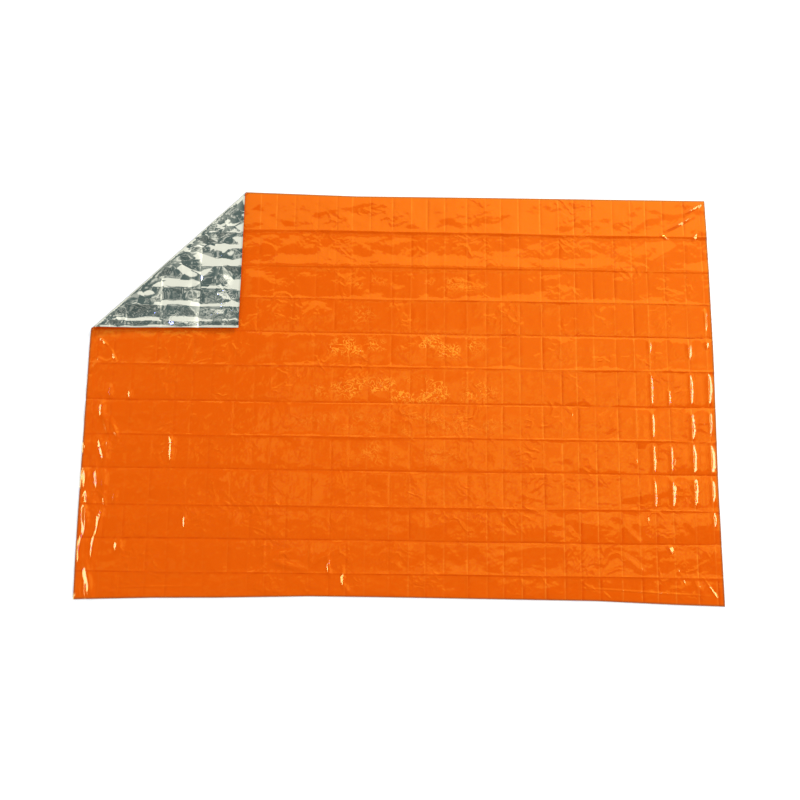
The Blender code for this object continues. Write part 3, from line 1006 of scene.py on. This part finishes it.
GLOW_RIGHT = Band(-0.12, 0.24)  # x
GLOW_BACK = Band(0.100, 0.118)  # y

SENSOR = 36.0  # millimetres
LENS = 55.01
CAMERA_PLACE = (-0.0834, -0.9639, 4.0349)
CAMERA_TURN = (13.014, -1.210, 0.622)  # degrees


def floor():
    mesh = bpy.data.meshes.new("floor")
    ends = (-FLOOR_HALF, FLOOR_HALF)
    corners = [(x, y, FLOOR_LEVEL) for y in ends for x in ends]
    mesh.from_pydata(corners, [], [(0, 1, 3, 2)])
    plane = bpy.data.objects.new("floor", mesh)
    bpy.context.scene.collection.objects.link(plane)
    material = bpy.data.materials.new("floor")
    material.use_nodes = True
    shader = material.node_tree.nodes["Principled BSDF"]
    shader.inputs["Base Color"].default_value = FLOOR_COLOUR
    shader.inputs["Roughness"].default_value = 0.8
    shader.inputs["Specular IOR Level"].default_value = 0.1
    mesh.materials.append(material)


def window():
    data = bpy.data.lights.new("window", "AREA")
    data.shape = "RECTANGLE"
    data.size, data.size_y = WINDOW.size
    data.energy = WINDOW.radiance * math.pi * WINDOW.size[0] * WINDOW.size[1]
    light = bpy.data.objects.new("window", data)
    light.location = WINDOW.place
    light.rotation_euler = (-Vector(WINDOW.place)).to_track_quat("-Z", "Y").to_euler()
    bpy.context.scene.collection.objects.link(light)


def room_walls(tree, way, x, y, z):
    """How cream the room is in a direction: walls behind and to the sides, and patches of the ceiling."""
    walls = together(tree, "MAXIMUM", ramp(tree, y, *BACK_WALL), ramp(tree, x, *RIGHT_WALL),
                     ramp(tree, x, *LEFT_WALL))
    walls = maths(tree, "MULTIPLY", walls, ramp(tree, z, *WALL_FOOT))
    patch = ramp(tree, noise(tree, MIRRORED_PATCH, way), *PATCH_EDGE)
    front = maths(tree, "MAXIMUM", ramp(tree, y, *PATCH_MIDDLE), ramp(tree, y, *PATCH_FRONT))
    slant = maths(tree, "SUBTRACT", x, y)
    right = together(tree, "MULTIPLY", patch, ramp(tree, y, *PATCH_BACK), front,
                     ramp(tree, slant, *PATCH_RIGHT))
    left = maths(tree, "MULTIPLY", patch, ramp(tree, slant, *PATCH_LEFT))
    return together(tree, "MAXIMUM", walls, right, left)


def world():
    """Even white light for matt surfaces; for the gloss a dark ceiling, cream walls, bright strips."""
    sky = bpy.data.worlds.new("studio")
    bpy.context.scene.world = sky
    sky.use_nodes = True
    tree = sky.node_tree
    tree.nodes.clear()
    end = tree.nodes.new("ShaderNodeOutputWorld")
    even = tree.nodes.new("ShaderNodeBackground")
    even.inputs["Color"].default_value = (1.0, 1.0, 1.0, 1.0)
    even.inputs["Strength"].default_value = EVEN_LIGHT
    way = tree.nodes.new("ShaderNodeTexCoord").outputs["Generated"]
    parts = tree.nodes.new("ShaderNodeSeparateXYZ")
    tree.links.new(way, parts.inputs[0])
    x, y, z = parts.outputs
    side = maths(tree, "ABSOLUTE", x)
    strip = together(tree, "MULTIPLY", *[ramp(tree, side, *band) for band in STRIP_SIDES],
                     ramp(tree, z, *STRIP_FOOT), ramp(tree, y, *STRIP_BACK))
    seen = mixed(tree, room_walls(tree, way, x, y, z), ROOM_DARK, ROOM_CREAM)
    seen = mixed(tree, strip, seen, STRIP)
    glow = maths(tree, "MULTIPLY", ramp(tree, x, *GLOW_RIGHT), ramp(tree, y, *GLOW_BACK))
    seen = vectors(tree, "ADD", seen, scaled(tree, WARM, glow))
    room = tree.nodes.new("ShaderNodeBackground")
    tree.links.new(seen, room.inputs["Color"])
    tree.links.new(maths(tree, "MAXIMUM", ramp(tree, y, *FRONT_DIM), strip), room.inputs["Strength"])
    ray = tree.nodes.new("ShaderNodeLightPath")
    choose = tree.nodes.new("ShaderNodeMixShader")
    tree.links.new(ray.outputs["Is Glossy Ray"], choose.inputs[0])
    tree.links.new(even.outputs[0], choose.inputs[1])
    tree.links.new(room.outputs[0], choose.inputs[2])
    tree.links.new(choose.outputs[0], end.inputs["Surface"])


def camera():
    data = bpy.data.cameras.new("camera")
    data.sensor_width = SENSOR
    data.lens = LENS
    view = bpy.data.objects.new("camera", data)
    view.location = CAMERA_PLACE
    view.rotation_euler = [math.radians(turn) for turn in CAMERA_TURN]
    bpy.context.scene.collection.objects.link(view)
    bpy.context.scene.camera = view


camera()
floor()
world()
window()

film_groups = (wear_and_painted_light_group(), wrinkle_group(), pull_group())
orange_film = film_material("orange film", ORANGE, ORANGE_RELIEF, film_groups,
                            Roughness=0.035, IOR=2.0, Specular_Tint=(0.95, 0.70, 0.06, 1.0),
                            Coat_Weight=0.08, Coat_Roughness=0.03)
silver_film = film_material("silver film", SILVER, SILVER_RELIEF, film_groups,
                            Roughness=0.04, Metallic=1.0)
film = film_piece(orange_film, silver_film)
thin_hidden_side(film)
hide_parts("foil_blanket")
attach(film, "root")

bpy.context.scene.view_settings.view_transform = "Standard"
